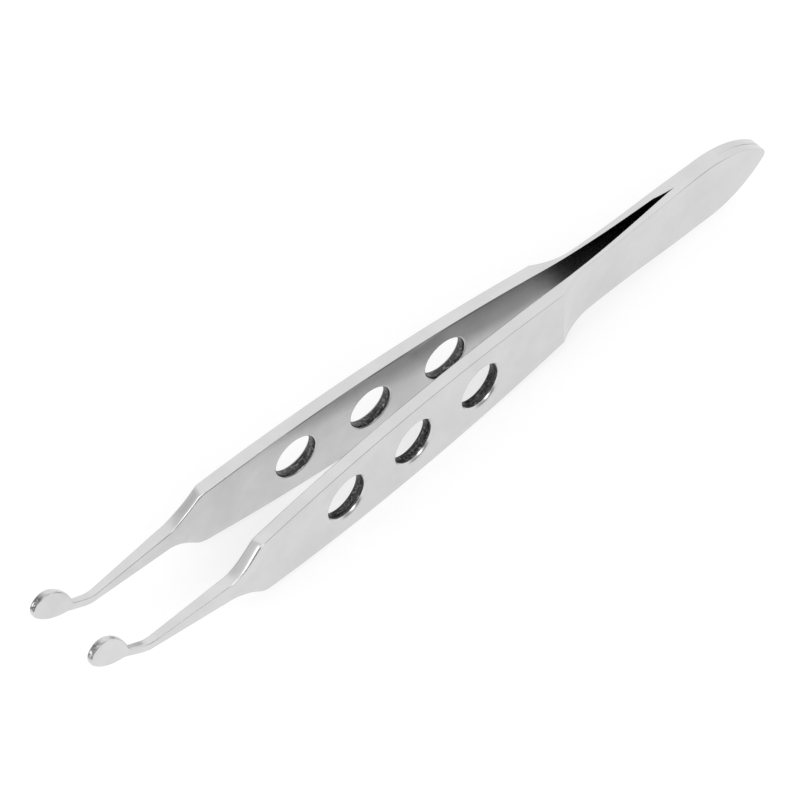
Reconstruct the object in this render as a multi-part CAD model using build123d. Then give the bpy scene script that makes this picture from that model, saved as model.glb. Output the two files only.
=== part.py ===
from build123d import *
import os
from math import cos, isclose, radians, sin, sqrt, tan

# Eyelid massage tweezers of stainless steel: two mirrored arms, welded together at the tail.
# +X runs from the tail to the tips, +Y to the left arm and +Z up. The tweezers lie on the lower
# edges of both handles. The origin is on that surface, under the middle of their length.

# Lengths of the stretches of an arm, from the tail to the tips
tail_length = 9.8
spring_length = 20.8
handle_length = 45.0
shank_length = 15.6
riser_length = 3.1
plate_length = 6.25

# Tail, a leaf that ends in a blunt point
tail_height = 8.0
tail_thickness = 1.0
tail_point_length = 8.6
tail_point_radius = 0.9

# Spring, waisted in height and thinnest beside the handle
spring_waist_height = 7.05
spring_thickness = 0.42
shoulder_cutter_radius = 10.0

# Handle, with bowed edges and a row of grip holes
handle_height = 10.44
handle_end_height = 7.8
handle_thickness = 1.48
hole_count = 3
hole_pitch = 10.0
hole_diameter = 5.1
hole_rim_width = 0.25

# Neck and shank
neck_radius = 6.0
neck_corner_radius = 0.9
shank_start_height = 2.4
shank_end_height = 1.04
shank_bend_radius = 3.5
shank_rise = 27.0

# Oval plate that presses the lid
plate_tilt = 42.0
plate_nose_radius = 1.6
plate_nose_turn = 84.0
plate_heel_height = 0.9
plate_thickness = 0.8
notch_radius = 0.3

# How the arms stand apart, seen from above
arm_splay = 3.3
plate_half_gap = 3.76
plate_splay = 1.5
side_bend_offset = 2.6
side_bend_radius = 12.0
plate_bend_radius = 6.0

# Weld between the two halves of the tail
weld_length = 5.8
weld_toe = 2.1
weld_thickness = 0.5

# Softened outer edges, from the handle to the plate
outer_edge_radius = 0.3

# Places along the arm, counted from the middle of the handle
shoulder_x = -handle_length / 2
neck_x = handle_length / 2
crotch_x = shoulder_x - spring_length
tail_x = crotch_x - tail_length
bend_x = neck_x + shank_length
turn_x = neck_x + side_bend_offset

# The bend of the shank takes this much of the straight on each side of its corner
bend_setback = shank_bend_radius * tan(radians(shank_rise / 2))
heel_x = bend_x + riser_length * cos(radians(shank_rise))
heel_z = riser_length * sin(radians(shank_rise))
nose_x = heel_x + (plate_length - plate_nose_radius) * cos(radians(plate_tilt)) + plate_nose_radius
blank_height = 2 * handle_height
through = 4 * handle_thickness


def upper_edge():
    """Upper edge of the arm from the tail's point to the bend, seen from the side."""
    widest = (tail_x + tail_point_length, tail_height / 2)
    waist = ((crotch_x + shoulder_x) / 2, spring_waist_height / 2)
    shoulder = (shoulder_x, handle_end_height / 2)
    neck = (neck_x, handle_end_height / 2)
    bow = TangentArc((0, handle_height / 2), neck, tangent=(1, 0))
    bow_end = bow % 1
    neck_drop = (handle_end_height - shank_start_height) / 2
    shank_x = neck_x + sqrt(2 * neck_radius * neck_drop - neck_drop**2)
    shank_top = (shank_x, shank_start_height / 2)
    return [
        TangentArc(widest, (tail_x, 0), tangent=(-1, 0)),
        Spline(widest, waist, shoulder, tangents=[(1, 0), (bow_end.X, -bow_end.Y)]),
        ThreePointArc(shoulder, (0, handle_height / 2), neck),
        TangentArc(shank_top, neck, tangent=(-1, 0)),
        Line(shank_top, (bend_x - bend_setback, shank_end_height / 2)),
    ]


def riser_edge(side):
    """Bend and riser on one side of the shank: side 1 is the upper one and -1 the lower one."""
    start = (bend_x - bend_setback, side * shank_end_height / 2)
    radius = shank_bend_radius - side * shank_end_height / 2
    bend = JernArc(start, (1, 0), radius, shank_rise)
    into_plate = plate_heel_height / 2
    return [bend, PolarLine(bend @ 1, riser_length - bend_setback + into_plate, shank_rise)]


def strip_face():
    """Side view of the arm without its plate."""
    upper = upper_edge()
    lower = [mirror(edge, about=Plane.XZ) for edge in upper]
    top = riser_edge(1)
    bottom = riser_edge(-1)
    heel = Line(top[1] @ 1, bottom[1] @ 1)
    face = make_face(upper + lower + top + bottom + [heel])
    corners = face.vertices().filter_by(lambda v: isclose(v.X, neck_x))
    face = fillet(corners, neck_corner_radius)
    point = face.vertices().sort_by(Axis.X)[0]
    return fillet(point, tail_point_radius)


def plate_face():
    """Side view of the plate: a round nose and two bowed sides that narrow to the heel."""
    nose_centre = plate_length - plate_nose_radius
    nose = CenterArc((nose_centre, 0), plate_nose_radius, -plate_nose_turn, 2 * plate_nose_turn)
    end = nose % 1
    upper = TangentArc(nose @ 1, (0, plate_heel_height / 2), tangent=(end.X, end.Y))
    lower = mirror(upper, about=Plane.XZ)
    heel = Line(upper @ 1, lower @ 1)
    face = make_face([nose, upper, lower, heel])
    return Pos(heel_x, heel_z) * Rot(0, 0, plate_tilt) * face


def side_face():
    """Whole side view of an arm, with the notch between riser and plate rounded."""
    face = strip_face() + plate_face()
    reach = plate_heel_height
    joint = face.vertices().filter_by(lambda v: (v.center() - Vector(heel_x, heel_z)).length < reach)
    return fillet(joint, notch_radius)


def beside(x, off):
    """Point that lies off the straight inner face of the left arm, seen from above."""
    lean = radians(arm_splay)
    inner_y = (x - crotch_x) * tan(lean)
    return Vector(x - off * sin(lean), inner_y + off * cos(lean))


def plan_face():
    """View of the left arm from above: how thick each stretch is and where it stands."""
    end_x = nose_x + plate_thickness
    end_y = plate_half_gap + (end_x - heel_x) * tan(radians(plate_splay))
    inner = FilletPolyline(
        (crotch_x, 0),
        beside(turn_x, 0),
        (heel_x, plate_half_gap),
        (end_x, end_y),
        radius=[side_bend_radius, plate_bend_radius],
    )
    outer = FilletPolyline(
        (end_x, end_y + plate_thickness),
        (heel_x, plate_half_gap + plate_thickness),
        beside(turn_x, handle_thickness),
        beside(shoulder_x, handle_thickness),
        radius=[plate_bend_radius, side_bend_radius],
    )
    step = handle_thickness - spring_thickness
    run = sqrt(2 * shoulder_cutter_radius * step - step**2)
    thin = beside(shoulder_x - run, spring_thickness)
    ramp = TangentArc(thin, outer @ 1, tangent=beside(neck_x, 0) - beside(shoulder_x, 0))
    tail = FilletPolyline(
        thin,
        (crotch_x, tail_thickness),
        (tail_x, tail_thickness),
        (tail_x, 0),
        radius=[side_bend_radius, 0],
    )
    flat = Line((tail_x, 0), (crotch_x, 0))
    return make_face([inner, Line(inner @ 1, outer @ 0), outer, ramp, tail, flat])


def hole_drill():
    """Drill that widens at 45 degrees towards both faces of the handle, to break the rims."""
    radius = hole_diameter / 2
    flare = 2 * hole_rim_width
    rim = Cone(radius, radius + flare, flare, align=(Align.CENTER, Align.CENTER, Align.MIN))
    outer_rim = Pos(0, 0, handle_thickness / 2 - hole_rim_width) * rim
    drill = Cylinder(radius, through) + outer_rim + mirror(outer_rim, about=Plane.XY)
    return Rot(90, 0, 0) * drill


def grip_holes():
    """Drills for the row of holes, square to the handle's faces."""
    drill = hole_drill()
    drills = []
    for number in range(hole_count):
        x = (number - (hole_count - 1) / 2) * hole_pitch
        centre = beside(x, handle_thickness / 2)
        drills.append(Pos(centre.X, centre.Y, 0) * Rot(0, 0, arm_splay) * drill)
    return drills


def weld_slab(half_width):
    """Block over the welded stretch of the tail, from the middle plane to one side."""
    middle_x = crotch_x + weld_toe - weld_length / 2
    return Pos(middle_x, half_width / 2, 0) * Box(weld_length, half_width, blank_height)


def outer_bows(arm):
    """Two long edges of the handle's outer face, which run on to the plate without a corner."""
    middle_y = beside(0, handle_thickness / 2).Y
    bows = arm.edges().filter_by(lambda edge: abs(edge.center().X) < hole_pitch / 2)
    return bows.filter_by(lambda edge: edge.center().Y > middle_y)


def left_arm():
    """One forged and milled strip, from the tail's point to the plate's nose."""
    side = extrude(Plane.XZ * side_face(), amount=blank_height, both=True)
    plan = extrude(plan_face(), amount=blank_height, both=True)
    arm = (side & plan).solids()[0]
    arm = arm.fillet(outer_edge_radius, outer_bows(arm))
    for drill in grip_holes():
        arm = arm - drill
    return arm - weld_slab(weld_thickness / 2)


def tail_weld():
    """Fused metal between the tail halves, flush with their edges."""
    side = extrude(Plane.XZ * side_face(), amount=blank_height, both=True)
    half = side & weld_slab(weld_thickness / 2)
    return (half + mirror(half, about=Plane.XZ)).solids()[0]


left = left_arm()
right = mirror(left, about=Plane.XZ)
to_rest = Pos(-left.bounding_box().center().X, 0, handle_height / 2)

os.makedirs("parts", exist_ok=True)
export_step(to_rest * left, "parts/left_arm.step")
export_step(to_rest * right, "parts/right_arm.step")
export_step(to_rest * tail_weld(), "parts/tail_weld.step")
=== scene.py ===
import math

import bmesh
import bpy
from mathutils import Matrix, Vector
from mathutils.kdtree import KDTree


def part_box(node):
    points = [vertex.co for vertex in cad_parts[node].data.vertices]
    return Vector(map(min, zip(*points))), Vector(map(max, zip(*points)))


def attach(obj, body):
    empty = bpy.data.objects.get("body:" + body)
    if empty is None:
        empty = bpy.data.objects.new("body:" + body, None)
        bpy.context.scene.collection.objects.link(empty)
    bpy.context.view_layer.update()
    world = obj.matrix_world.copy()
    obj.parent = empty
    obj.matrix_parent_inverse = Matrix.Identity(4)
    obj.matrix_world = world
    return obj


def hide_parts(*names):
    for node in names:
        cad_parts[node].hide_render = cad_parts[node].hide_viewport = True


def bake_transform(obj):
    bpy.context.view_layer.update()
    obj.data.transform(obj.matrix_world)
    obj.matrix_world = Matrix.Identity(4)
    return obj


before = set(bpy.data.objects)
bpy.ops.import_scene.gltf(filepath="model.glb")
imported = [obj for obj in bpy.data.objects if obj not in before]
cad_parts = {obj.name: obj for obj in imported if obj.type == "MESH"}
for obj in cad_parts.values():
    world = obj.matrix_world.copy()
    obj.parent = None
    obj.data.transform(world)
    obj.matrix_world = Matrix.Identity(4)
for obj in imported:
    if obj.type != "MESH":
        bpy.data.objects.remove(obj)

# Eyelid massage tweezers. Each arm is made the way the real one is: a flat blank is cut to its
# outline and drilled, its edges are eased, and then it is thinned and bent to its place.
# The working lengths are millimetres, counted from the middle hole on the line of the holes.
# Place turns them into the metres of the frame.

MM = 0.001

# Lengths of the stretches of an arm, from the tail to the tips
TAIL_LENGTH = 9.8
SPRING_LENGTH = 20.8
HANDLE_LENGTH = 45.0
SHANK_LENGTH = 15.6
RISER_LENGTH = 3.1
PLATE_LENGTH = 6.25

# Heights, seen from the side
TAIL_HEIGHT = 8.0
TAIL_POINT_LENGTH = 8.6
TAIL_POINT_RADIUS = 0.9
SPRING_WAIST_HEIGHT = 7.05
SPRING_WAIST_SLOPE = -0.03
HANDLE_HEIGHT = 10.44
HANDLE_END_HEIGHT = 7.8
NECK_RADIUS = 6.0
NECK_SLOPE = -1.0
SHANK_START_HEIGHT = 2.4
SHANK_END_HEIGHT = 1.04
SHANK_BEND_RADIUS = 3.5
SHANK_RISE = math.radians(27.0)
PLATE_TILT = math.radians(42.0)
PLATE_NOSE_RADIUS = 1.6
PLATE_NOSE_TURN = math.radians(81.0)
PLATE_HEEL_HEIGHT = 0.9
PLATE_SWELL = 0.09
NOTCH_RADIUS = 0.3

# Radius of the neck's corner, for side 1, the upper edge, and side -1, the lower edge
NECK_CORNER_RADIUS = {1: 1.5, -1: 3.0}

# Into how many short lines each curve of the outline is divided
POINT_STEPS = 16
LEAF_STEPS = 40
SPRING_STEPS = 12
BOW_STEPS = 48
NECK_CORNER_STEPS = 10
SCOOP_STEPS = 24
SHANK_BEND_STEPS = 10
NOTCH_STEPS = 8
FLANK_STEPS = 24
NOSE_STEPS = 28

# Below these, a line counts as straight and two lines count as parallel
NO_BEND = 1e-9
NO_ANGLE = 1e-12

# Thicknesses and places, seen from above
TAIL_THICKNESS = 1.0
SPRING_THICKNESS = 0.42
SHOULDER_CUTTER_RADIUS = 10.0
HANDLE_THICKNESS = 1.48
PLATE_THICKNESS = 0.8
ARM_SPLAY = math.radians(3.3)
PLATE_HALF_GAP = 3.76
PLATE_SPLAY = math.radians(1.5)
SIDE_BEND_OFFSET = 2.6
SIDE_BEND_RADIUS = 12.0
PLATE_BEND_RADIUS = 6.0

# Grip holes, and how near two points of the drilled blank have to be to become one
HOLE_COUNT = 3
HOLE_PITCH = 10.0
HOLE_RADIUS = 2.55
HOLE_SIDES = 96
MERGE_DISTANCE = 0.0005

# Weld between the two halves of the tail: how long it is and how far past the crotch it ends. Weld metal
# runs on from there in the gap and narrows towards the right arm. The taper is the share of its width
# that is gone where it stops.
WELD_LENGTH = 5.8
WELD_TOE = 2.1
WELD_THICKNESS = 0.16
WELD_CROWN = 0.008
WELD_TAPER = 0.98
WELD_STEPS = 48

# Places along the arm
SHOULDER_X = -HANDLE_LENGTH / 2
NECK_X = HANDLE_LENGTH / 2
CROTCH_X = SHOULDER_X - SPRING_LENGTH
TAIL_X = CROTCH_X - TAIL_LENGTH
BEND_X = NECK_X + SHANK_LENGTH
TURN_X = NECK_X + SIDE_BEND_OFFSET
HEEL_X = BEND_X + RISER_LENGTH * math.cos(SHANK_RISE)
HEEL_Z = RISER_LENGTH * math.sin(SHANK_RISE)
NOSE_X = HEEL_X + (PLATE_LENGTH - PLATE_NOSE_RADIUS) * math.cos(PLATE_TILT) + PLATE_NOSE_RADIUS
WELD_START = CROTCH_X + WELD_TOE - WELD_LENGTH
WELD_LEFT_END = CROTCH_X + 2.2
WELD_RIGHT_END = CROTCH_X + 5.6

# Stretches over which lines are cut across the blank, so that it can be thinned and bent there: start,
# end, and into how many parts
BEND_STRETCHES = (
    (CROTCH_X, SHOULDER_X, 40),
    (TAIL_X + 1.5, CROTCH_X, 6),
    (SHOULDER_X + 3, NECK_X, 10),
    (TURN_X - 0.6, TURN_X + 0.6, 8),
    (TURN_X + 2, HEEL_X - 2, 5),
    (HEEL_X - 0.4, HEEL_X + 0.4, 8),
)

# Lines whose places agree to this many digits are cut once. A line takes in the points within its reach.
SLICE_DIGITS = 4
SLICE_REACH = 0.002

# Radius to which the edges are first rolled off, and the number of facets across each
OUTER_EDGE = 0.3
OUTER_EDGE_FACETS = 5
INNER_EDGE = 0.1
INNER_EDGE_FACETS = 4

# Rims of the grip holes. The outer one is flatter than a quarter of a circle.
OUTER_HOLE_RIM = 0.45
INNER_HOLE_RIM = 0.34
HOLE_RIM_FACETS = 6
ROUND_PROFILE = 0.5
FLATTER_PROFILE = 0.31

# Reach past a hole's wall within which a place belongs to its wall, belongs to its rim or isn't polished
HOLE_WALL_REACH = 0.1
HOLE_RIM_REACH = OUTER_HOLE_RIM + 0.01
HOLE_GUARD = OUTER_HOLE_RIM + 0.05

# How far a place may be off a flat side of the blank, and how sharply the wall turns away from that side
LEVEL_REACH = 1e-4
WALL_ANGLE = math.radians(60)

# Order of the finishes on an arm. The bores and the inner faces carry painted shade, and the plates' rims a
# painted dark reflection.
SATIN, BORE, INNER_PAINTED_SHADE, GROUND = range(4)

# How level a face may be, from 0 for a wall to 1 for a flat side, and still belong to a bore or to the
# ground rim, and how deep the inner face reaches into the blank
BORE_LEVEL = 0.65
GROUND_LEVEL = 0.8
INNER_FACE_DEPTH = INNER_EDGE * 0.3

# Deepest place to which the polishing takes an edge
DEEPEST_ROLL = HANDLE_THICKNESS * 0.6

# Angles that leave a crease, anywhere and on the shoulder's line, how far off that line counts, in metres,
# and how much more the large faces weigh in the shading
CREASE_ANGLE = math.radians(50)
SHOULDER_ANGLE = math.radians(8)
SHOULDER_REACH = 2e-6
LARGE_FACE_WEIGHT = 90

# Radius after polishing by hand, from place to place along the arm
OUTER_ROLL = (
    (CROTCH_X, 0.16),
    (CROTCH_X + 4.0, 0.05),
    (SHOULDER_X, 0.05),
    (SHOULDER_X + 1.0, 0.14),
    (NECK_X - 0.12, 0.18),
    (NECK_X + 0.08, 0.62),
    (NECK_X + 1.2, 0.52),
    (NECK_X + 3.4, 0.26),
    (NECK_X + 5.5, 0.18),
    (BEND_X, 0.2),
    (HEEL_X + 0.8, 0.26),
)
INNER_ROLL = (
    (TAIL_X + 2.6, 0.07),
    (TAIL_X + 4.4, 0.012),
    (CROTCH_X + 6.0, 0.012),
    (SHOULDER_X, 0.1),
    (SHOULDER_X + 8.0, 0.2),
    (NECK_X - 0.12, 0.22),
    (NECK_X + 0.08, 0.3),
    (NECK_X + 1.5, 0.29),
    (NECK_X + 4.5, 0.15),
    (TURN_X + 4.0, 0.12),
    (BEND_X, 0.14),
    (HEEL_X + 0.8, 0.22),
)

# The outer edge of the right arm is rolled less at its neck, and so are the lower edges of both arms
RIGHT_ROLL_LIMIT = 0.3
LOWER_ROLL_LIMIT = 0.12

# The plate's rim, ground by hand, with a painted dark reflection on it: where it starts past the heel, and
# the directions seen from the middle of the nose in which it begins, is full, is still full and ends
RIM_START = 0.9
RIM_TURNS = (5.0, 16.0, 66.0, 102.0)

# The neck is ground askew, on side 1, the left arm, and on side -1, the right arm. The skew is how much
# further forward its corner lies on the inner side than on the outer side. The shift is how far forward
# its upper edge lies. It grows from none to full over a height round the line of the holes.
NECK_SKEW = {1: 0.3, -1: 0.55}
NECK_SHIFT = {1: 0.4, -1: 0.15}
NECK_SHIFT_HEIGHT = 3.0
NECK_SKEW_MIDDLE = NECK_X + 1.4
NECK_SKEW_REACH = 4.0

# Painted shade on the inner faces, dark between the arms towards the tail: how far past the crotch it is
# full, and how far before the shoulder it ends
PAINTED_SHADE_REACH = 16.0
PAINTED_SHADE_STOP = 1.1

# A band of painted dark reflection, paler than the painted shade, lies above a line that climbs towards the
# tips:
# the slope of the line, how far under the floor it starts at the crotch, how far below it the band begins,
# how far above it the band is full, and how much it covers there
BAND_SLOPE = 0.198
BAND_SINK = 0.4
BAND_BELOW = 1.8
BAND_ABOVE = 1.4
BAND_SHARE = 0.38

# Where the middle hole stands in the frame
tip_lo, tip_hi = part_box("left_arm")
HOLE_PLACE = Vector((tip_hi.x - NOSE_X * MM, 0.0, tip_lo.z + HANDLE_HEIGHT / 2 * MM))


# Drawing the outline

def arc_from(start, heading, end, steps):
    """Points of the arc that leaves start along heading and ends at end."""
    start = Vector(start)
    end = Vector(end)
    heading = Vector(heading).normalized()
    side = Vector((-heading.y, heading.x))
    chord = end - start
    offset = chord.dot(side)
    if abs(offset) < NO_BEND:
        return [start.lerp(end, i / steps) for i in range(steps + 1)]
    radius = chord.length_squared / (2 * offset)
    centre = start + side * radius
    turn = 2 * math.atan2(offset, chord.dot(heading))
    spoke = start - centre
    return [centre + Matrix.Rotation(turn * i / steps, 2) @ spoke for i in range(steps + 1)]


def fair_line(start, start_slope, end, end_slope, steps):
    """Points of a smooth line between two places, with a given slope at each."""
    run = end[0] - start[0]
    points = []
    for i in range(steps + 1):
        t = i / steps
        rise = (
            start[1] * (1 + 2 * t) * (1 - t) ** 2
            + start_slope * run * t * (1 - t) ** 2
            + end[1] * t * t * (3 - 2 * t)
            + end_slope * run * t * t * (t - 1)
        )
        points.append(Vector((start[0] + run * t, rise)))
    return points


def cut_back(points, length):
    """The line without its last stretch of that length, and the heading at the cut."""
    points = list(points)
    left = length
    while len(points) > 2 and (points[-1] - points[-2]).length < left:
        left -= (points[-1] - points[-2]).length
        points.pop()
    step = points[-1] - points[-2]
    points[-1] = points[-1] - step.normalized() * left
    return points, step.normalized()


def rounded(first, second, radius, steps):
    """Two lines that meet at a corner, joined with the corner rounded."""
    into = (first[-1] - first[-2]).normalized()
    away = (second[1] - second[0]).normalized()
    reach = radius * math.tan(into.angle(away) / 2)
    head, heading = cut_back(first, reach)
    tail, _ = cut_back(list(reversed(second)), reach)
    tail.reverse()
    return head[:-1] + arc_from(head[-1], heading, tail[0], steps) + tail[1:]


def crossing(first, second):
    """The two lines cut where they cross: the first up to there and the second from there."""
    for i in range(len(first) - 1):
        a, b = first[i], first[i + 1]
        for k in range(len(second) - 1):
            c, d = second[k], second[k + 1]
            run = b - a
            other = d - c
            slant = run.cross(other)
            if abs(slant) < NO_ANGLE:
                continue
            t = (c - a).cross(other) / slant
            u = (c - a).cross(run) / slant
            if 0 <= t <= 1 and 0 <= u <= 1:
                meeting = a + run * t
                return first[:i + 1] + [meeting], [meeting] + second[k + 1:]
    raise ValueError("the riser doesn't reach the plate")


def plate_side(side):
    """Side of the oval plate from its heel to the middle of its nose: side 1 is the upper one."""
    nose_centre = Vector((PLATE_LENGTH - PLATE_NOSE_RADIUS, 0))
    reach = Vector((PLATE_NOSE_RADIUS + PLATE_SWELL, 0))
    nose = []
    for i in range(NOSE_STEPS + 1):
        turn = Matrix.Rotation(side * PLATE_NOSE_TURN * (1 - i / NOSE_STEPS), 2)
        nose.append(nose_centre + turn @ reach)
    start = nose[0]
    spoke = start - nose_centre
    back = Vector((-side * spoke.y, side * spoke.x))
    flank = arc_from(start, back, (0, side * PLATE_HEEL_HEIGHT / 2), FLANK_STEPS)
    flank.reverse()
    turn = Matrix.Rotation(PLATE_TILT, 2)
    heel = Vector((HEEL_X, HEEL_Z))
    return [heel + turn @ point for point in flank + nose[1:]]


def edge_line(side):
    """One edge of an arm from the tail's point to the nose: side 1 is the upper edge, -1 the lower."""
    widest = (TAIL_X + TAIL_POINT_LENGTH, TAIL_HEIGHT / 2)
    waist = ((CROTCH_X + SHOULDER_X) / 2, SPRING_WAIST_HEIGHT / 2)
    shoulder = (SHOULDER_X, HANDLE_END_HEIGHT / 2)
    neck = (NECK_X, HANDLE_END_HEIGHT / 2)
    rise = (HANDLE_HEIGHT - HANDLE_END_HEIGHT) / 2
    bow_radius = (NECK_X ** 2 + rise ** 2) / (2 * rise)
    bow_slope = NECK_X / (bow_radius - rise)
    leaf = arc_from(widest, (-1, 0), (TAIL_X, 0), LEAF_STEPS)
    leaf.reverse()
    spring = fair_line(widest, 0, waist, SPRING_WAIST_SLOPE, SPRING_STEPS)
    spring += fair_line(waist, SPRING_WAIST_SLOPE, shoulder, bow_slope, SPRING_STEPS)[1:]
    bow = arc_from(shoulder, (1, bow_slope), neck, BOW_STEPS)
    drop = (HANDLE_END_HEIGHT - SHANK_START_HEIGHT) / 2
    shank_top = (NECK_X + math.sqrt(2 * NECK_RADIUS * drop - drop ** 2), SHANK_START_HEIGHT / 2)
    scoop = fair_line(neck, NECK_SLOPE, shank_top, 0, SCOOP_STEPS)
    handle = leaf[:-1] + spring[:-1] + bow
    body = rounded(handle, scoop, NECK_CORNER_RADIUS[side], NECK_CORNER_STEPS)
    setback = SHANK_BEND_RADIUS * math.tan(SHANK_RISE / 2)
    bend_start = Vector((BEND_X - setback, SHANK_END_HEIGHT / 2))
    body.append(bend_start)
    body = [Vector((p[0], side * p[1])) for p in body]
    radius = SHANK_BEND_RADIUS - side * SHANK_END_HEIGHT / 2
    centre = body[-1] + Vector((0, radius))
    for i in range(1, SHANK_BEND_STEPS + 1):
        turn = Matrix.Rotation(SHANK_RISE * i / SHANK_BEND_STEPS, 2)
        body.append(centre + turn @ Vector((0, -radius)))
    along = Vector((math.cos(SHANK_RISE), math.sin(SHANK_RISE)))
    riser, plate = crossing([body[-1], body[-1] + along * RISER_LENGTH], plate_side(side))
    return body[:-1] + rounded(riser, plate, NOTCH_RADIUS, NOTCH_STEPS)


def arm_outline():
    """Closed outline of an arm, seen from the side."""
    upper = edge_line(1)
    lower = edge_line(-1)
    point = rounded(list(reversed(lower)), upper, TAIL_POINT_RADIUS, POINT_STEPS)
    return point[:-1]


# Helpers for objects and node trees

def in_scene(name, data):
    """A new object in the scene that shows a mesh, a lamp or a camera."""
    obj = bpy.data.objects.new(name, data)
    bpy.context.scene.collection.objects.link(obj)
    return obj


def finished_piece(name, bm, materials):
    """A new object in the scene with the mesh that was worked on and its materials."""
    mesh = bpy.data.meshes.new(name)
    for material in materials:
        mesh.materials.append(material)
    bm.to_mesh(mesh)
    bm.free()
    return in_scene(name, mesh)


def reckon(tree, operation, *values):
    """Result of a calculation by a node: each value is a number, or the socket that it comes from."""
    node = tree.nodes.new("ShaderNodeMath")
    node.operation = operation
    for socket, value in zip(node.inputs, values):
        if isinstance(value, bpy.types.NodeSocket):
            tree.links.new(value, socket)
        else:
            socket.default_value = value
    return node.outputs[0]


# Cutting and drilling the blank

def wire_object(name, points):
    """A closed line as an object, for the drilling tree to fill."""
    mesh = bpy.data.meshes.new(name)
    count = len(points)
    edges = [(i, (i + 1) % count) for i in range(count)]
    mesh.from_pydata([(p[0], p[1], 0.0) for p in points], edges, [])
    return in_scene(name, mesh)


def drilled_blank_tree():
    """Geometry nodes that fill an outline, leave out a row of round holes and give it its thickness."""
    tree = bpy.data.node_groups.new("drilled_blank", "GeometryNodeTree")
    face = tree.interface
    face.new_socket("Outline", in_out="INPUT", socket_type="NodeSocketGeometry")
    for label, kind in (
        ("Hole Count", "NodeSocketInt"),
        ("Hole Pitch", "NodeSocketFloat"),
        ("Hole Radius", "NodeSocketFloat"),
        ("Hole Sides", "NodeSocketInt"),
        ("Thickness", "NodeSocketFloat"),
        ("Steel", "NodeSocketMaterial"),
    ):
        face.new_socket(label, in_out="INPUT", socket_type=kind)
    face.new_socket("Blank", in_out="OUTPUT", socket_type="NodeSocketGeometry")
    nodes = tree.nodes
    link = tree.links.new

    given = nodes.new("NodeGroupInput")
    made = nodes.new("NodeGroupOutput")

    # The first hole stands half the length of the row behind the middle of the handle
    gaps = reckon(tree, "SUBTRACT", given.outputs["Hole Count"], 1.0)
    behind = reckon(tree, "MULTIPLY", gaps, -0.5)
    first_x = reckon(tree, "MULTIPLY", behind, given.outputs["Hole Pitch"])
    first = nodes.new("ShaderNodeCombineXYZ")
    link(first_x, first.inputs["X"])
    step = nodes.new("ShaderNodeCombineXYZ")
    link(given.outputs["Hole Pitch"], step.inputs["X"])

    row = nodes.new("GeometryNodeMeshLine")
    row.mode = "OFFSET"
    row.count_mode = "TOTAL"
    link(given.outputs["Hole Count"], row.inputs["Count"])
    link(first.outputs[0], row.inputs["Start Location"])
    link(step.outputs[0], row.inputs["Offset"])
    circle = nodes.new("GeometryNodeCurvePrimitiveCircle")
    link(given.outputs["Hole Sides"], circle.inputs["Resolution"])
    link(given.outputs["Hole Radius"], circle.inputs["Radius"])
    spread = nodes.new("GeometryNodeInstanceOnPoints")
    link(row.outputs["Mesh"], spread.inputs["Points"])
    link(circle.outputs["Curve"], spread.inputs["Instance"])
    holes = nodes.new("GeometryNodeRealizeInstances")
    link(spread.outputs[0], holes.inputs[0])

    outline = nodes.new("GeometryNodeMeshToCurve")
    link(given.outputs["Outline"], outline.inputs["Mesh"])
    lines = nodes.new("GeometryNodeJoinGeometry")
    link(holes.outputs[0], lines.inputs[0])
    link(outline.outputs[0], lines.inputs[0])
    sheet = nodes.new("GeometryNodeFillCurve")
    sheet.mode = "NGONS"
    link(lines.outputs[0], sheet.inputs[0])

    rise = nodes.new("ShaderNodeCombineXYZ")
    link(given.outputs["Thickness"], rise.inputs["Z"])
    thick = nodes.new("GeometryNodeExtrudeMesh")
    thick.mode = "FACES"
    thick.inputs["Individual"].default_value = False
    link(sheet.outputs[0], thick.inputs["Mesh"])
    link(rise.outputs[0], thick.inputs["Offset"])
    under = nodes.new("GeometryNodeFlipFaces")
    link(sheet.outputs[0], under.inputs[0])
    closed = nodes.new("GeometryNodeJoinGeometry")
    link(thick.outputs["Mesh"], closed.inputs[0])
    link(under.outputs[0], closed.inputs[0])
    merged = nodes.new("GeometryNodeMergeByDistance")
    merged.inputs["Distance"].default_value = MERGE_DISTANCE
    link(closed.outputs[0], merged.inputs[0])
    real = nodes.new("GeometryNodeRealizeInstances")
    link(merged.outputs[0], real.inputs[0])
    paint = nodes.new("GeometryNodeSetMaterial")
    link(real.outputs[0], paint.inputs["Geometry"])
    link(given.outputs["Steel"], paint.inputs["Material"])
    link(paint.outputs[0], made.inputs["Blank"])
    return tree


def drilled_blank(steel):
    """Flat blank of an arm with its row of grip holes, as a plain mesh that lies in XY."""
    wire = wire_object("arm_blank", arm_outline())
    work = wire.modifiers.new("drill", "NODES")
    work.node_group = drilled_blank_tree()
    sizes = {
        "Hole Count": HOLE_COUNT,
        "Hole Pitch": HOLE_PITCH,
        "Hole Radius": HOLE_RADIUS,
        "Hole Sides": HOLE_SIDES,
        "Thickness": HANDLE_THICKNESS,
        "Steel": steel,
    }
    for socket in work.node_group.interface.items_tree:
        if socket.in_out == "INPUT" and socket.name in sizes:
            work[socket.identifier] = sizes[socket.name]
    depsgraph = bpy.context.evaluated_depsgraph_get()
    mesh = bpy.data.meshes.new_from_object(wire.evaluated_get(depsgraph))
    bpy.data.objects.remove(wire)
    return mesh


# Polishing the edges off

def near_hole(point, reach):
    """Whether a point lies in a grip hole or within reach of its wall."""
    for number in range(HOLE_COUNT):
        x = (number - (HOLE_COUNT - 1) / 2) * HOLE_PITCH
        if math.hypot(point[0] - x, point[1]) < HOLE_RADIUS + reach:
            return True
    return False


def roll_at(x, profile):
    """Radius of an edge at a place along the arm, between the places where it is given."""
    if x <= profile[0][0]:
        return profile[0][1]
    for (x0, r0), (x1, r1) in zip(profile, profile[1:]):
        if x <= x1:
            return r0 + (r1 - r0) * (x - x0) / (x1 - x0)
    return profile[-1][1]


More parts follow.
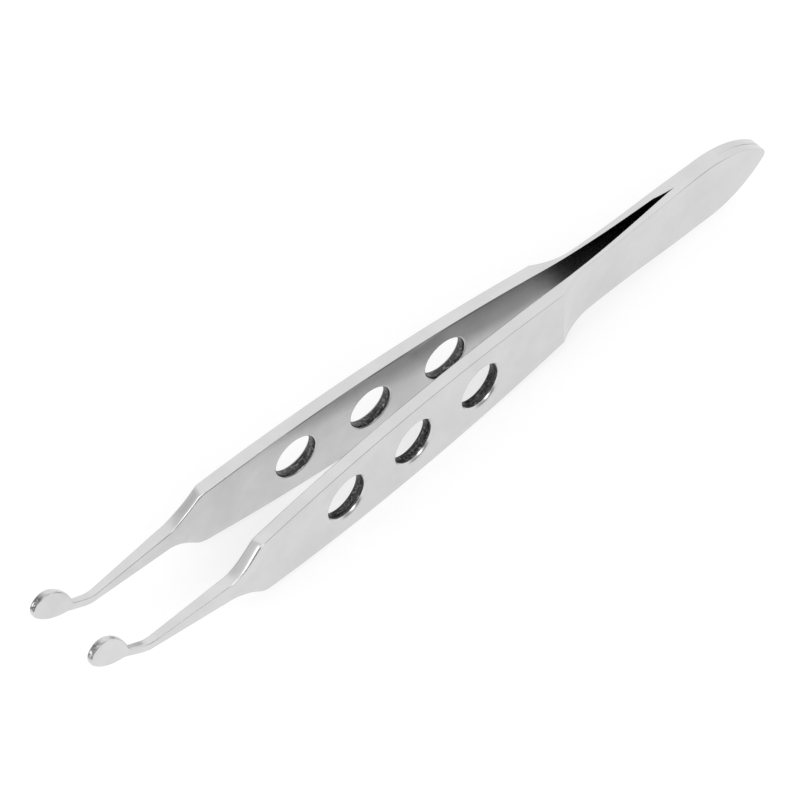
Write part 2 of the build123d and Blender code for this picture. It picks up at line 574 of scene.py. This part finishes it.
def rim_edges(bm, level, holes):
    """Edges between a flat side of the blank and its walls: round the holes, or round the outline."""
    found = []
    for edge in bm.edges:
        if len(edge.link_faces) != 2 or any(abs(v.co.z - level) > LEVEL_REACH for v in edge.verts):
            continue
        if edge.calc_face_angle(0) < WALL_ANGLE:
            continue
        middle = (edge.verts[0].co + edge.verts[1].co) / 2
        if near_hole(middle, HOLE_WALL_REACH) == holes:
            found.append(edge)
    return found


def ease(bm, edges, width, segments, profile=ROUND_PROFILE):
    """Rounds edges off by a width, with that many facets: profile 0.5 is round and 0.25 flat."""
    bmesh.ops.bevel(
        bm,
        geom=edges,
        offset=width,
        offset_type="OFFSET",
        segments=segments,
        profile=profile,
        affect="EDGES",
        clamp_overlap=False,
        loop_slide=False,
        material=-1,
    )


def nearest_on(outline, tree, point):
    """Nearest place on the closed outline to a point."""
    _, index, _ = tree.find((point.x, point.y, 0.0))
    best = None
    for start in (index - 1, index):
        a = outline[start]
        b = outline[(start + 1) % len(outline)]
        run = b - a
        share = max(0.0, min(1.0, (point - a).dot(run) / run.length_squared))
        foot = a + run * share
        if best is None or (point - foot).length < (point - best).length:
            best = foot
    return best


def polish_edges(bm, outline, side):
    """Takes the rolled edges of the outline to the radius that each place has."""
    tree = KDTree(len(outline))
    for index, point in enumerate(outline):
        tree.insert((point.x, point.y, 0.0), index)
    tree.balance()
    for vert in bm.verts:
        point = Vector((vert.co.x, vert.co.y))
        outer = vert.co.z > HANDLE_THICKNESS / 2
        radius = OUTER_EDGE if outer else INNER_EDGE
        depth = HANDLE_THICKNESS - vert.co.z if outer else vert.co.z
        if depth > radius + LEVEL_REACH or near_hole(point, HOLE_GUARD):
            continue
        foot = nearest_on(outline, tree, point)
        wanted = roll_at(foot.x, OUTER_ROLL if outer else INNER_ROLL)
        if outer and side < 0:
            wanted = min(wanted, RIGHT_ROLL_LIMIT)
        if foot.y < 0 and SHOULDER_X < foot.x < BEND_X:
            wanted = min(wanted, LOWER_ROLL_LIMIT)
        share = wanted / radius
        thinning = HANDLE_THICKNESS / (outer_y(foot.x) - inner_y(foot.x))
        point = foot + (point - foot) * share
        depth = min(depth * share * thinning, DEEPEST_ROLL)
        vert.co = (point.x, point.y, HANDLE_THICKNESS - depth if outer else depth)


def rolled_blank(mesh, side):
    """The blank with its outline and its hole rims rolled and polished."""
    bm = bmesh.new()
    bm.from_mesh(mesh)
    bmesh.ops.recalc_face_normals(bm, faces=bm.faces)
    ease(bm, rim_edges(bm, HANDLE_THICKNESS, False), OUTER_EDGE, OUTER_EDGE_FACETS)
    ease(bm, rim_edges(bm, 0.0, False), INNER_EDGE, INNER_EDGE_FACETS)
    outer_rims = rim_edges(bm, HANDLE_THICKNESS, True)
    ease(bm, outer_rims, OUTER_HOLE_RIM, HOLE_RIM_FACETS, FLATTER_PROFILE)
    ease(bm, rim_edges(bm, 0.0, True), INNER_HOLE_RIM, HOLE_RIM_FACETS)
    for face in bm.faces:
        middle = face.calc_center_median()
        at_hole = all(near_hole(vert.co, HOLE_RIM_REACH) for vert in face.verts)
        if at_hole and abs(face.normal.z) < BORE_LEVEL:
            face.material_index = BORE
        elif middle.x > HEEL_X + RIM_START and abs(face.normal.z) < GROUND_LEVEL:
            face.material_index = GROUND
        # Inner faces get the satin steel with painted shade
        elif middle.z < INNER_FACE_DEPTH:
            face.material_index = INNER_PAINTED_SHADE
        else:
            face.material_index = SATIN
    polish_edges(bm, arm_outline(), side)
    return bm


def slice_at(bm, x):
    """Cuts a line across the blank, so that it can bend there."""
    bmesh.ops.bisect_plane(
        bm,
        geom=list(bm.verts) + list(bm.edges) + list(bm.faces),
        dist=SLICE_REACH,
        plane_co=(x, 0, 0),
        plane_no=(1, 0, 0),
    )


def stations(start, end, count):
    """Evenly spaced places along the arm, both ends among them."""
    return [start + (end - start) * i / count for i in range(count + 1)]


# Thinning and bending to place

def corner(x, at, before, after, radius):
    """Height of a line that turns at a corner from one slope to another, with the turn rounded."""
    reach = radius * abs(after - before) / 2
    along = x - at
    if along < -reach:
        return before * along
    if along > reach or reach == 0:
        return after * along
    return before * along + (after - before) * (along + reach) ** 2 / (4 * reach)


def inner_y(x):
    """Distance of the inner face from the middle plane at a place along the arm."""
    splay = math.tan(ARM_SPLAY)
    turn_y = (TURN_X - CROTCH_X) * splay
    shank = (PLATE_HALF_GAP - turn_y) / (HEEL_X - TURN_X)
    if x < CROTCH_X:
        return 0.0
    if x < (TURN_X + HEEL_X) / 2:
        return turn_y + corner(x, TURN_X, splay, shank, SIDE_BEND_RADIUS)
    return PLATE_HALF_GAP + corner(x, HEEL_X, shank, math.tan(PLATE_SPLAY), PLATE_BEND_RADIUS)


def outer_y(x):
    """Distance of the outer face from the middle plane at a place along the arm."""
    splay = math.tan(ARM_SPLAY)
    upright = math.cos(ARM_SPLAY)
    step = HANDLE_THICKNESS - SPRING_THICKNESS
    run = math.sqrt(2 * SHOULDER_CUTTER_RADIUS * step - step ** 2)
    thin_x = SHOULDER_X - run
    thin_y = inner_y(thin_x) + SPRING_THICKNESS / upright
    slope = (thin_y - TAIL_THICKNESS) / (thin_x - CROTCH_X)
    if x < (CROTCH_X + thin_x) / 2:
        return TAIL_THICKNESS + corner(x, CROTCH_X, 0.0, slope, SIDE_BEND_RADIUS)
    if x < thin_x:
        return thin_y + slope * (x - thin_x)
    if x < SHOULDER_X:
        along = x - thin_x
        scooped = SHOULDER_CUTTER_RADIUS - math.sqrt(SHOULDER_CUTTER_RADIUS ** 2 - along ** 2)
        return inner_y(x) + (SPRING_THICKNESS + scooped) / upright
    turn_y = (TURN_X - CROTCH_X) * splay + HANDLE_THICKNESS / upright
    plate_y = PLATE_HALF_GAP + PLATE_THICKNESS
    shank = (plate_y - turn_y) / (HEEL_X - TURN_X)
    if x < (TURN_X + HEEL_X) / 2:
        return turn_y + corner(x, TURN_X, splay, shank, SIDE_BEND_RADIUS)
    return plate_y + corner(x, HEEL_X, shank, math.tan(PLATE_SPLAY), PLATE_BEND_RADIUS)


def height_at(x):
    """Height of the upper edge above the line of the holes at a place on the tail or the spring."""
    line = edge_line(1)
    for a, b in zip(line, line[1:]):
        if a.x <= x <= b.x:
            return a.y + (b.y - a.y) * (x - a.x) / (b.x - a.x)
    raise ValueError("no edge at that place")


def place(x, y, z):
    """A place in millimetres from the middle hole, as metres in the frame."""
    return HOLE_PLACE + Vector((x, y, z)) * MM


def bent_to_place(bm, side):
    """Takes the flat blank to its place: side 1 is the left arm and -1 the right arm."""
    for vert in bm.verts:
        x, height, depth = vert.co
        share = depth / HANDLE_THICKNESS
        # The holes are drilled square to the faces of the handle, which is splayed
        if near_hole((x, height), HOLE_GUARD):
            x -= depth * math.sin(ARM_SPLAY)
        from_neck = abs(x - NECK_SKEW_MIDDLE) / NECK_SKEW_REACH
        if from_neck < 1:
            upper = max(0.0, min(1.0, 0.5 + height / NECK_SHIFT_HEIGHT))
            moved = NECK_SHIFT[side] * upper + NECK_SKEW[side] * (0.5 - share)
            x += moved * (1 - from_neck ** 2) ** 2
        inner = inner_y(x)
        y = inner + share * (outer_y(x) - inner)
        vert.co = place(x, side * y, height)


def face_outward(bm):
    """Turns the faces of a closed piece outward: only then is its volume above zero."""
    bm.normal_update()
    bmesh.ops.recalc_face_normals(bm, faces=bm.faces)
    if bm.calc_volume(signed=True) < 0:
        bmesh.ops.reverse_faces(bm, faces=bm.faces)


def finish_normals(obj):
    """Smooth shading that keeps the flats flat and the shoulder's line crisp."""
    mesh = obj.data
    for polygon in mesh.polygons:
        polygon.use_smooth = True
    bm = bmesh.new()
    bm.from_mesh(mesh)
    line_x = place(SHOULDER_X, 0, 0).x
    for edge in bm.edges:
        angle = edge.calc_face_angle(0)
        on_line = all(abs(v.co.x - line_x) < SHOULDER_REACH for v in edge.verts)
        edge.smooth = not (angle > CREASE_ANGLE or (on_line and angle > SHOULDER_ANGLE))
    bm.to_mesh(mesh)
    bm.free()
    weigh = obj.modifiers.new("weigh", "WEIGHTED_NORMAL")
    weigh.keep_sharp = True
    weigh.weight = LARGE_FACE_WEIGHT
    depsgraph = bpy.context.evaluated_depsgraph_get()
    finished = bpy.data.meshes.new_from_object(obj.evaluated_get(depsgraph))
    obj.modifiers.clear()
    obj.data = finished
    finished.name = obj.name


def arm(name, side, finishes):
    """One arm of the tweezers, as a finished piece."""
    bm = rolled_blank(drilled_blank(finishes[SATIN]), side)
    lines = [x for stretch in BEND_STRETCHES for x in stations(*stretch)]
    for x in sorted(set(round(line, SLICE_DIGITS) for line in lines)):
        slice_at(bm, x)
    bent_to_place(bm, side)
    face_outward(bm)
    obj = finished_piece(name, bm, finishes)
    finish_normals(obj)
    return obj


def tail_seam_weld(name, steel):
    """Weld metal in the seam of the tail, with a toe that fills the narrow end of the gap."""
    bm = bmesh.new()
    rows = []
    for x in stations(WELD_START, WELD_RIGHT_END, WELD_STEPS):
        top = height_at(x) + WELD_CROWN
        half = inner_y(x) + WELD_THICKNESS / 2
        past = max(0.0, (x - WELD_LEFT_END) / (WELD_RIGHT_END - WELD_LEFT_END))
        left = half * (1 - 2 * WELD_TAPER * past)
        # The upper side is level in the middle and slants down by the crown to both arms
        ring = [(left, top - WELD_CROWN), (left / 2 - half * past / 2, top)]
        ring += [((left - 3 * half) / 4, top), (-half, top - WELD_CROWN)]
        ring += [(y, -z) for y, z in reversed(ring)]
        rows.append([bm.verts.new(place(x, y, z)) for y, z in ring])
    for a, b in zip(rows, rows[1:]):
        for i in range(len(a)):
            k = (i + 1) % len(a)
            bm.faces.new((a[i], a[k], b[k], b[i]))
    bm.faces.new(rows[0])
    bm.faces.new(list(reversed(rows[-1])))
    face_outward(bm)
    return finished_piece(name, bm, (steel,))


# Materials

# Patterns of the finishes: the factor by which each is finer on each axis, how fine it is, how many levels
# of detail it has and how strongly they show
SATIN_LINES = {"stretch": (60, 2600, 2600), "scale": 1.6, "detail": 4.0, "rough": 0.55}
SATIN_CLOUDS = {"stretch": (1, 1, 1), "scale": 240, "detail": 3.0, "rough": 0.55}
SATIN_SPECKS = {"stretch": (1, 1, 1), "scale": 6200, "detail": 2.0, "rough": 0.4}
BORE_RINGS = {"stretch": (260, 3600, 260), "scale": 1.5, "detail": 3.0, "rough": 0.55}
BORE_SPECKS = {"stretch": (1, 1, 1), "scale": 3800, "detail": 3.0, "rough": 0.6}
GROUND_MARKS = {"stretch": (1, 1, 1), "scale": 1500, "detail": 3.0, "rough": 0.6}
GROUND_SPECKS = {"stretch": (1, 1, 1), "scale": 4200, "detail": 2.0, "rough": 0.5}

# Part of each pattern's range over which it changes the steel
CLOUD_SPAN = (0.35, 0.65)
DUST_SPAN = (0.62, 0.76)
RING_SPAN = (0.42, 0.66)
BORE_SPECK_SPAN = (0.54, 0.66)
GROUND_SPECK_SPAN = (0.55, 0.68)
ROUGH_SPAN = (0.3, 0.7)

# How much the specks cover where they are strongest
DUST_SHARE = 0.3
SPECK_SHARE = 0.8

# Greys of the satin steel, of the painted shade and painted dark reflection on its inner faces, of the
# bores, whose darkness is painted shade, and of the plates' ground rims, darkened by a painted dark
# reflection
SATIN_DARK = 0.63
SATIN_DARK_PAINTED_SHADE_INSIDE = 0.61
SATIN_LIGHT = 0.67
SATIN_DUST = 0.58
PAINTED_REFLECTION_GREY = 0.13
PAINTED_SHADE_GREY = 0.06
BORE_PAINTED_SHADE_DARK = 0.035
BORE_PAINTED_SHADE_LIGHT = 0.1
BORE_SPECK = 0.26
GROUND_AND_REFLECTION_DARK = 0.08
GROUND_AND_REFLECTION_LIGHT = 0.33
GROUND_SPECK = 0.7
UNGROUND_GREY = 0.65

# Roughness where the pattern is lowest and where it is highest
SATIN_ROUGHNESS = (0.2, 0.27)
BORE_ROUGHNESS = (0.28, 0.5)
GROUND_ROUGHNESS = (0.18, 0.32)

# Relief: its depth in metres and its strength
LINE_RELIEF = (0.000001, 0.16)
DUST_RELIEF = (0.000001, 0.12)
RING_RELIEF = (0.000006, 0.5)
MARK_RELIEF = (0.000005, 0.4)


def grey(level):
    """The colour that is a grey of that level."""
    return (level, level, level)


class Finish:
    """A metal finish: a shader with its colour, roughness and relief drawn by nodes."""

    def __init__(self, name):
        self.material = bpy.data.materials.new(name)
        self.material.use_nodes = True
        self.tree = self.material.node_tree
        self.nodes = self.tree.nodes
        self.links = self.tree.links
        self.shader = self.nodes["Principled BSDF"]
        self.shader.inputs["Metallic"].default_value = 1.0
        self.place = self.nodes.new("ShaderNodeTexCoord").outputs["Object"]

    def grain(self, stretch, scale, detail, rough):
        """Noise that is finer on some axes than on others, by the factors in stretch."""
        mapping = self.nodes.new("ShaderNodeMapping")
        mapping.inputs["Scale"].default_value = stretch
        self.links.new(self.place, mapping.inputs["Vector"])
        noise = self.nodes.new("ShaderNodeTexNoise")
        noise.inputs["Scale"].default_value = scale
        noise.inputs["Detail"].default_value = detail
        noise.inputs["Roughness"].default_value = rough
        self.links.new(mapping.outputs[0], noise.inputs["Vector"])
        return noise.outputs["Fac"]

    def ramp(self, value, span, result=(0.0, 1.0)):
        """Maps part of a pattern's range to a range of values."""
        spread = self.nodes.new("ShaderNodeMapRange")
        spread.inputs["From Min"].default_value = span[0]
        spread.inputs["From Max"].default_value = span[1]
        spread.inputs["To Min"].default_value = result[0]
        spread.inputs["To Max"].default_value = result[1]
        self.links.new(value, spread.inputs["Value"])
        return spread.outputs["Result"]

    def mixed(self, share, first, second):
        """Colour between two, by a pattern."""
        mix = self.nodes.new("ShaderNodeMix")
        mix.data_type = "RGBA"
        colour = [s for s in mix.inputs if s.type == "RGBA"]
        for socket, value in zip(colour, (first, second)):
            if isinstance(value, tuple):
                socket.default_value = (*value, 1.0)
            else:
                self.links.new(value, socket)
        self.links.new(share, mix.inputs["Factor"])
        return [s for s in mix.outputs if s.type == "RGBA"][0]

    def relief(self, height, depth, strength, under=None):
        """Raises the surface by a pattern, to a depth in metres."""
        bump = self.nodes.new("ShaderNodeBump")
        bump.inputs["Distance"].default_value = depth
        bump.inputs["Strength"].default_value = strength
        self.links.new(height, bump.inputs["Height"])
        if under is not None:
            self.links.new(under, bump.inputs["Normal"])
        return bump.outputs["Normal"]

    def parts(self, vector):
        """The outputs X, Y and Z of a vector."""
        split = self.nodes.new("ShaderNodeSeparateXYZ")
        self.links.new(vector, split.inputs[0])
        return split.outputs

    def dressed(self, colour, rough, normal):
        """The material, once its shader has its colour, roughness and relief."""
        self.links.new(colour, self.shader.inputs["Base Color"])
        self.links.new(rough, self.shader.inputs["Roughness"])
        self.links.new(normal, self.shader.inputs["Normal"])
        return self.material


def satin_finish(name, with_painted_shade):
    """Stainless steel with a fine satin finish; the second argument adds painted shade to the inner faces:
    a darker grey, a band of painted dark reflection along the top and dark painted shade between the arms
    towards the crotch.
    """
    finish = Finish(name)
    lines = finish.grain(**SATIN_LINES)
    clouds = finish.grain(**SATIN_CLOUDS)
    specks = finish.grain(**SATIN_SPECKS)
    tone = finish.ramp(clouds, CLOUD_SPAN)
    # The inner faces start from a darker grey: painted shade
    low = SATIN_DARK_PAINTED_SHADE_INSIDE if with_painted_shade else SATIN_DARK
    colour = finish.mixed(tone, grey(low), grey(SATIN_LIGHT))
    dust = finish.ramp(specks, DUST_SPAN, (0.0, DUST_SHARE))
    colour = finish.mixed(dust, colour, grey(SATIN_DUST))
    if with_painted_shade:
        parts = finish.parts(finish.place)
        # scale is the share of dark painted shade between the arms: full from the crotch, gone before the
        # shoulder
        near_weld = place(CROTCH_X + PAINTED_SHADE_REACH, 0, 0).x
        clean = place(SHOULDER_X - PAINTED_SHADE_STOP, 0, 0).x
        scale = finish.ramp(parts["X"], (near_weld, clean), (1.0, 0.0))
        # Painted dark reflection: a band along the top of the inner faces, above a line that climbs towards
        # the tips
        start = BAND_SLOPE * place(CROTCH_X, 0, 0).x + BAND_SINK * MM
        lean = reckon(finish.tree, "MULTIPLY_ADD", parts["X"], -BAND_SLOPE, start)
        over = reckon(finish.tree, "ADD", parts["Z"], lean)
        band = finish.ramp(over, (-BAND_BELOW * MM, BAND_ABOVE * MM), (0.0, BAND_SHARE))
        colour = finish.mixed(band, colour, grey(PAINTED_REFLECTION_GREY))
        colour = finish.mixed(scale, colour, grey(PAINTED_SHADE_GREY))
    rough = finish.ramp(lines, ROUGH_SPAN, SATIN_ROUGHNESS)
    normal = finish.relief(lines, *LINE_RELIEF)
    normal = finish.relief(specks, *DUST_RELIEF, normal)
    return finish.dressed(colour, rough, normal)


def drilled_steel_painted_shade():
    """Bore of a drilled hole, made dark by painted shade, with bright specks and fine rings left by the
    drill.
    """
    finish = Finish("drilled_steel_painted_shade")
    rings = finish.grain(**BORE_RINGS)
    specks = finish.grain(**BORE_SPECKS)
    ringed = finish.ramp(rings, RING_SPAN)
    # The bore's dark greys are painted shade, ringed by the drill's marks
    colour = finish.mixed(ringed, grey(BORE_PAINTED_SHADE_DARK), grey(BORE_PAINTED_SHADE_LIGHT))
    bright = finish.ramp(specks, BORE_SPECK_SPAN, (0.0, SPECK_SHARE))
    colour = finish.mixed(bright, colour, grey(BORE_SPECK))
    rough = finish.ramp(rings, ROUGH_SPAN, BORE_ROUGHNESS)
    return finish.dressed(colour, rough, finish.relief(rings, *RING_RELIEF))


def ground_steel_and_painted_reflection():
    """Rim of the plates, ground by hand: speckled and a little rough, and darker than the satin faces by a
    painted dark reflection on part of the nose.
    """
    finish = Finish("ground_steel_and_painted_reflection")
    marks = finish.grain(**GROUND_MARKS)
    specks = finish.grain(**GROUND_SPECKS)
    worn = finish.ramp(marks, CLOUD_SPAN)
    # The dark greys are a painted dark reflection, with the grinding marks in them
    colour = finish.mixed(worn, grey(GROUND_AND_REFLECTION_DARK), grey(GROUND_AND_REFLECTION_LIGHT))
    bright = finish.ramp(specks, GROUND_SPECK_SPAN, (0.0, SPECK_SHARE))
    colour = finish.mixed(bright, colour, grey(GROUND_SPECK))
    # The painted dark reflection and the grinding marks reach over part of the nose, by direction from its
    # middle; elsewhere the rim keeps a plain steel grey
    nose_z = HEEL_Z + (PLATE_LENGTH - PLATE_NOSE_RADIUS) * math.sin(PLATE_TILT)
    spoke = finish.nodes.new("ShaderNodeVectorMath")
    spoke.operation = "SUBTRACT"
    finish.links.new(finish.place, spoke.inputs[0])
    spoke.inputs[1].default_value = place(NOSE_X - PLATE_NOSE_RADIUS, 0, nose_z)
    parts = finish.parts(spoke.outputs[0])
    turn = reckon(finish.tree, "ARCTAN2", parts["Z"], parts["X"])
    starts, full, still_full, ends = [math.radians(angle) for angle in RIM_TURNS]
    rising = finish.ramp(turn, (starts, full))
    falling = finish.ramp(turn, (still_full, ends), (1.0, 0.0))
    ground = reckon(finish.tree, "MULTIPLY", rising, falling)
    colour = finish.mixed(ground, grey(UNGROUND_GREY), colour)
    rough = finish.ramp(marks, ROUGH_SPAN, GROUND_ROUGHNESS)
    cut = reckon(finish.tree, "MULTIPLY", marks, ground)
    return finish.dressed(colour, rough, finish.relief(cut, *MARK_RELIEF))


# Floor, light and camera

# Places in the white tent that aren't plain white: direction, reach in degrees, level at the middle
TENT_OPENINGS = (
    ((0.60, -0.454, 0.64), 32, 0.76),
    ((0.40, -0.88, 0.22), 28, 0.7),
    ((-0.43, 0.9, 0.28), 26, 0.4),
    ((0.19, 0.95, 0.25), 26, 0.3),
    ((-0.43, -0.45, 0.78), 38, 1.06),
)

# Share of its reach within which such a place has its full level
OPENING_CORE = 0.45

# Lamps: name, place, the point it looks at, size and power
LAMPS = (
    ("softbox", (0.40, 0.40, 0.42), (0, 0, 0), 0.3, 0.52),
    ("side_box", (0.58, -0.30, 0.05), (0, 0, 0.01), 0.22, 0.6),
    ("upper_box", (0.0, 0.58, 0.36), (0, 0, 0), 0.24, 0.4),
)

# Floor: half its width in metres, its grey, and how much it glows where it is seen
FLOOR_REACH = 1.5
FLOOR_GREY = 0.38
FLOOR_GLOW = 0.64

# Camera: how far it is turned from straight across the arms, how high it looks from, its distance in
# metres, the width of the picture at the tweezers, and where the picture's middle lies from the middle
# hole, to the right and up
CAMERA_TURN = math.radians(43.55)
CAMERA_HEIGHT = math.radians(51.21)
CAMERA_DISTANCE = 3.5
PICTURE_WIDTH = 82.041
PICTURE_RIGHT = 1.268
PICTURE_UP = 2.209
SENSOR_WIDTH = 36.0
NEAREST_SEEN = 0.1
FARTHEST_SEEN = 30.0


def shown_rays(tree):
    """1 for rays from the camera and for reflections, 0 for the rays that light things."""
    path = tree.nodes.new("ShaderNodeLightPath")
    return reckon(tree, "MAXIMUM", path.outputs["Is Camera Ray"], path.outputs["Is Glossy Ray"])


def pale_floor():
    """Plain white floor that glows where it is seen, so that it meets the white background."""
    mesh = bpy.data.meshes.new("floor")
    low, high = -FLOOR_REACH, FLOOR_REACH
    corners = [(low, low, 0), (high, low, 0), (high, high, 0), (low, high, 0)]
    mesh.from_pydata(corners, [], [(0, 1, 2, 3)])
    obj = in_scene("floor", mesh)
    material = bpy.data.materials.new("white_floor")
    material.use_nodes = True
    tree = material.node_tree
    paper = tree.nodes["Principled BSDF"]
    paper.inputs["Base Color"].default_value = (*grey(FLOOR_GREY), 1.0)
    paper.inputs["Roughness"].default_value = 1.0
    paper.inputs["Specular IOR Level"].default_value = 0.0
    paper.inputs["Emission Color"].default_value = (1.0, 1.0, 1.0, 1.0)
    glow = reckon(tree, "MULTIPLY", shown_rays(tree), FLOOR_GLOW)
    tree.links.new(glow, paper.inputs["Emission Strength"])
    mesh.materials.append(material)


def soft_surround():
    """White tent round the object. Metal also mirrors the openings through which the room shows."""
    world = bpy.data.worlds.new("tent")
    bpy.context.scene.world = world
    world.use_nodes = True
    tree = world.node_tree
    nodes = tree.nodes
    links = tree.links
    background = nodes["Background"]
    toward = nodes.new("ShaderNodeTexCoord").outputs["Generated"]
    level = 1.0
    for centre, reach, depth in TENT_OPENINGS:
        facing = nodes.new("ShaderNodeVectorMath")
        facing.operation = "DOT_PRODUCT"
        links.new(toward, facing.inputs[0])
        facing.inputs[1].default_value = Vector(centre).normalized()
        shade = nodes.new("ShaderNodeMapRange")
        shade.interpolation_type = "SMOOTHSTEP"
        shade.inputs["From Min"].default_value = math.cos(math.radians(reach))
        shade.inputs["From Max"].default_value = math.cos(math.radians(reach * OPENING_CORE))
        shade.inputs["To Min"].default_value = 1.0
        shade.inputs["To Max"].default_value = depth
        links.new(facing.outputs["Value"], shade.inputs["Value"])
        level = reckon(tree, "MULTIPLY", level, shade.outputs["Result"])
    # Plain white for all rays but reflections: sockets 2 and 3 are the two levels that the node mixes
    path = nodes.new("ShaderNodeLightPath")
    seen = nodes.new("ShaderNodeMix")
    seen.data_type = "FLOAT"
    links.new(path.outputs["Is Glossy Ray"], seen.inputs[0])
    seen.inputs[2].default_value = 1.0
    links.new(level, seen.inputs[3])
    links.new(seen.outputs[0], background.inputs["Strength"])
    background.inputs["Color"].default_value = (1.0, 1.0, 1.0, 1.0)


def soft_lamp(name, position, target, size, power):
    """Large square lamp that looks at a point."""
    light = bpy.data.lights.new(name, "AREA")
    light.shape = "SQUARE"
    light.size = size
    light.energy = power
    obj = in_scene(name, light)
    obj.location = position
    obj.rotation_mode = "QUATERNION"
    obj.rotation_quaternion = (Vector(target) - Vector(position)).to_track_quat("-Z", "Y")


def camera_at_photo_angle():
    """Long lens from high on the left of the arms, looking back along them."""
    east = math.sin(CAMERA_TURN)
    north = math.cos(CAMERA_TURN)
    level = math.cos(CAMERA_HEIGHT)
    right = Vector((-north, east, 0))
    back = Vector((east * level, north * level, math.sin(CAMERA_HEIGHT)))
    up = back.cross(right)
    target = HOLE_PLACE + (right * PICTURE_RIGHT + up * PICTURE_UP) * MM
    data = bpy.data.cameras.new("camera")
    data.sensor_width = SENSOR_WIDTH
    data.lens = SENSOR_WIDTH * CAMERA_DISTANCE / (PICTURE_WIDTH * MM)
    data.clip_start = NEAREST_SEEN
    data.clip_end = FARTHEST_SEEN
    obj = in_scene("camera", data)
    axes = Matrix((right, up, back)).transposed()
    obj.matrix_world = Matrix.Translation(target + back * CAMERA_DISTANCE) @ axes.to_4x4()
    bpy.context.scene.camera = obj


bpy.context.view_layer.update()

camera_at_photo_angle()
soft_surround()
for lamp in LAMPS:
    soft_lamp(*lamp)
pale_floor()
bpy.context.scene.view_settings.view_transform = "Standard"

steel = satin_finish("satin_steel", False)
# Satin steel for the inner faces, with painted shade and a painted dark reflection
inner = satin_finish("inner_steel_painted_shade", True)
bore = drilled_steel_painted_shade()
finishes = (steel, bore, inner, ground_steel_and_painted_reflection())
left = arm("left_arm_steel", 1, finishes)
right = arm("right_arm_steel", -1, finishes)
weld = tail_seam_weld("tail_weld_steel", steel)

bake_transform(left)
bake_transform(right)
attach(weld, "tail")
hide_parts("left_arm")
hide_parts("right_arm")
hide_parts("tail_weld")
